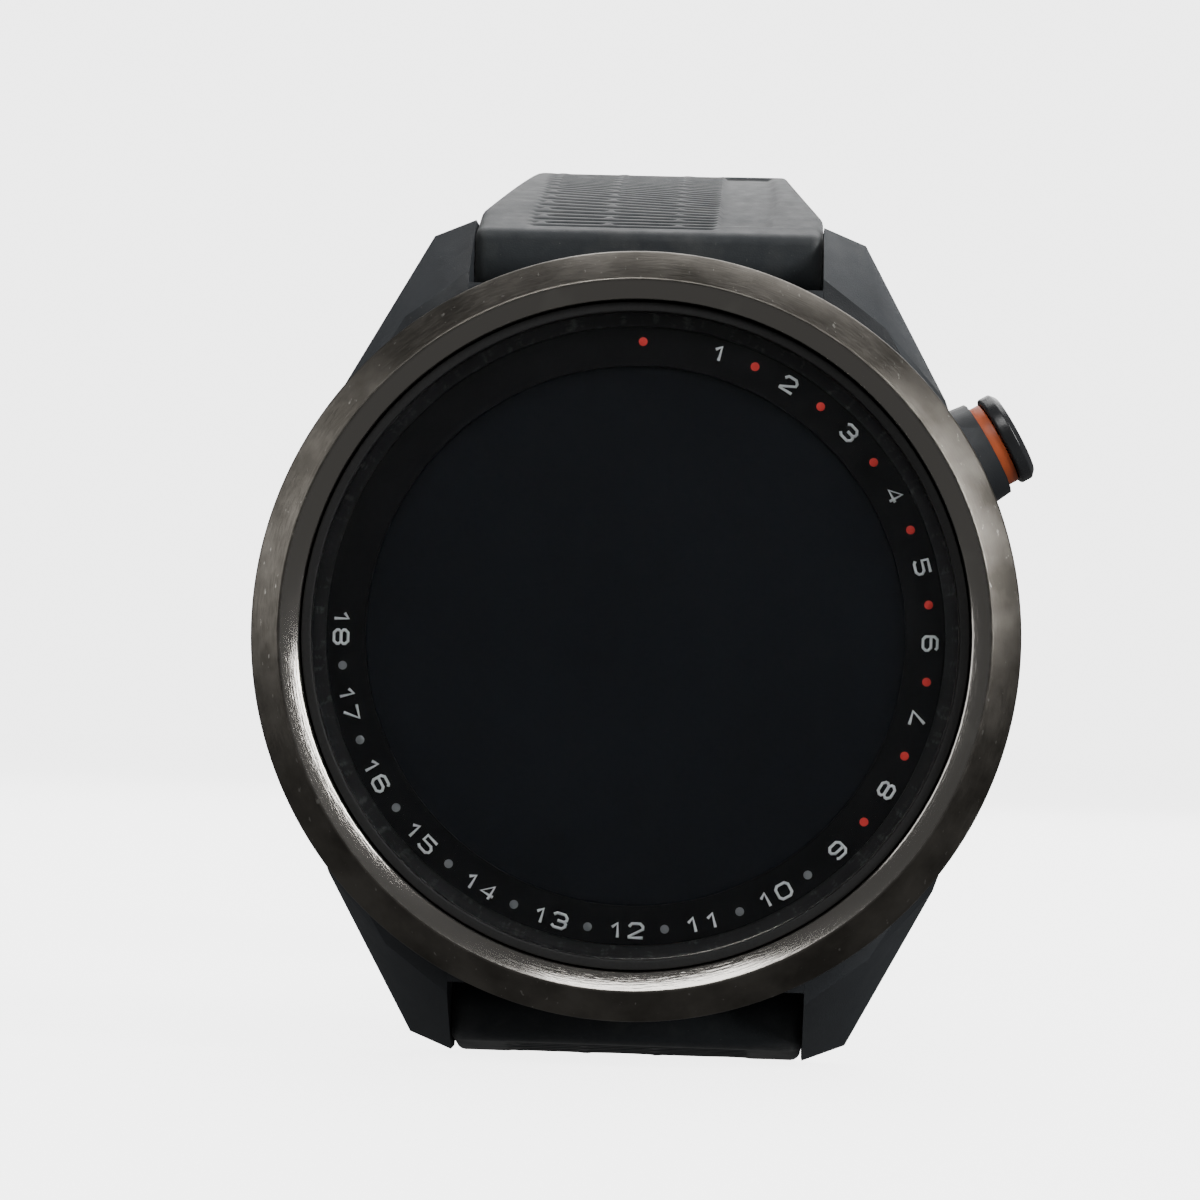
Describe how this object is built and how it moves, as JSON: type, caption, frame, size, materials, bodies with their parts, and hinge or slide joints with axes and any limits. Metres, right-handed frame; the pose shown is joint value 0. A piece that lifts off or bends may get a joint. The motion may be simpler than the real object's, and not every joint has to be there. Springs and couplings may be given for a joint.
{
  "type": "golf gps watch",
  "caption": "Round golf GPS watch with a metal bezel, one side button and an open two-piece rubber strap with a pin buckle.",
  "frame": {"origin": "centre of the case back's outer face", "axes": "+Y out of the case back, so the dial faces -Y; +X towards 3 o'clock; +Z towards 12 o'clock"},
  "size_m": [0.0442, 0.0979, 0.0556],
  "materials": {
    "case_polymer": "matte fibre-filled polymer, dark charcoal",
    "gunmetal": "brushed gunmetal coating with light scuffs",
    "lens_glass": "clear cover glass",
    "seal_rubber": "black rubber",
    "dial_black": "black print",
    "display": "unlit display",
    "foil": "plain foil",
    "flex_amber": "polyimide film",
    "inner_plastic": "black moulding",
    "board_green": "solder mask",
    "antenna_ceramic": "matte ceramic",
    "steel": "plain steel",
    "gold": "gold plate",
    "button_black": "gloss black",
    "accent_orange": "orange anodised",
    "strap_rubber": "matte silicone with fine diagonal grooves"
  },
  "bodies": {
    "case": {"case_body": "case_polymer", "bezel": "gunmetal", "lens": "lens_glass", "lens_gasket": "seal_rubber", "lens_adhesive": "dial_black", "dial_ring": "dial_black", "display_panel": "display", "backlight": "foil", "display_flex": "flex_amber", "mid_frame": "inner_plastic", "main_board": "board_green", "shield_can": "steel", "processor": "inner_plastic", "gps_antenna": "antenna_ceramic", "battery": "foil", "battery_pad": "seal_rubber", "battery_lead": "flex_amber", "vibration_motor": "steel", "back_cover": "case_polymer", "back_seal": "seal_rubber", "back_screw_1": "steel", "back_screw_2": "steel", "back_screw_3": "steel", "back_screw_4": "steel", "charge_port": "inner_plastic", "charge_contact_1": "gold", "charge_contact_2": "gold", "charge_contact_3": "gold", "charge_contact_4": "gold", "button_seal": "seal_rubber", "button_switch": "steel"},
    "button": {"button_cap": "button_black", "button_accent_ring": "accent_orange", "button_stem": "steel", "button_clip": "steel"},
    "upper_strap": {"upper_strap": "strap_rubber", "upper_bar_tube": "steel", "upper_bar_pin": "steel", "upper_bar_spring": "steel", "fixed_keeper": "strap_rubber"},
    "upper_release": {"upper_release_pin": "steel"},
    "free_keeper": {"free_keeper": "strap_rubber"},
    "buckle": {"buckle_frame": "gunmetal", "buckle_bar": "steel"},
    "tongue": {"buckle_tongue": "gunmetal"},
    "lower_strap": {"lower_strap": "strap_rubber", "lower_bar_tube": "steel", "lower_bar_pin": "steel", "lower_bar_spring": "steel"},
    "lower_release": {"lower_release_pin": "steel"}
  },
  "joints": [
    {"name": "button_press", "type": "slide", "parent": "case", "child": "button", "axis": [-0.866, 0, -0.5], "range_m": [0, 0.0006], "stiffness_N_per_m": 1500, "springref_m": -0.0006},
    {"name": "upper_strap_swing", "type": "hinge", "parent": "case", "child": "upper_strap", "pos_m": [0, -0.0035, 0.0219], "axis": [1, 0, 0], "range_deg": [-4, 60]},
    {"name": "lower_strap_swing", "type": "hinge", "parent": "case", "child": "lower_strap", "pos_m": [0, -0.0035, -0.0219], "axis": [-1, 0, 0], "range_deg": [-4, 60]},
    {"name": "upper_release_slide", "type": "slide", "parent": "upper_strap", "child": "upper_release", "axis": [-1, 0, 0], "range_m": [0, 0.001], "stiffness_N_per_m": 800, "springref_m": -0.001},
    {"name": "lower_release_slide", "type": "slide", "parent": "lower_strap", "child": "lower_release", "axis": [-1, 0, 0], "range_m": [0, 0.001], "stiffness_N_per_m": 800, "springref_m": -0.001},
    {"name": "keeper_slide", "type": "hinge", "parent": "upper_strap", "child": "free_keeper", "pos_m": [0, 0.029, 0.0029], "axis": [-1, 0, 0], "range_deg": [-12, 15]},
    {"name": "buckle_swing", "type": "hinge", "parent": "upper_strap", "child": "buckle", "pos_m": [0, 0.05615, 0.0029], "axis": [1, 0, 0], "range_deg": [-50, 20]},
    {"name": "tongue_swing", "type": "hinge", "parent": "buckle", "child": "tongue", "pos_m": [0, 0.05615, 0.0029], "axis": [1, 0, 0], "range_deg": [0, 68]}
  ]
}
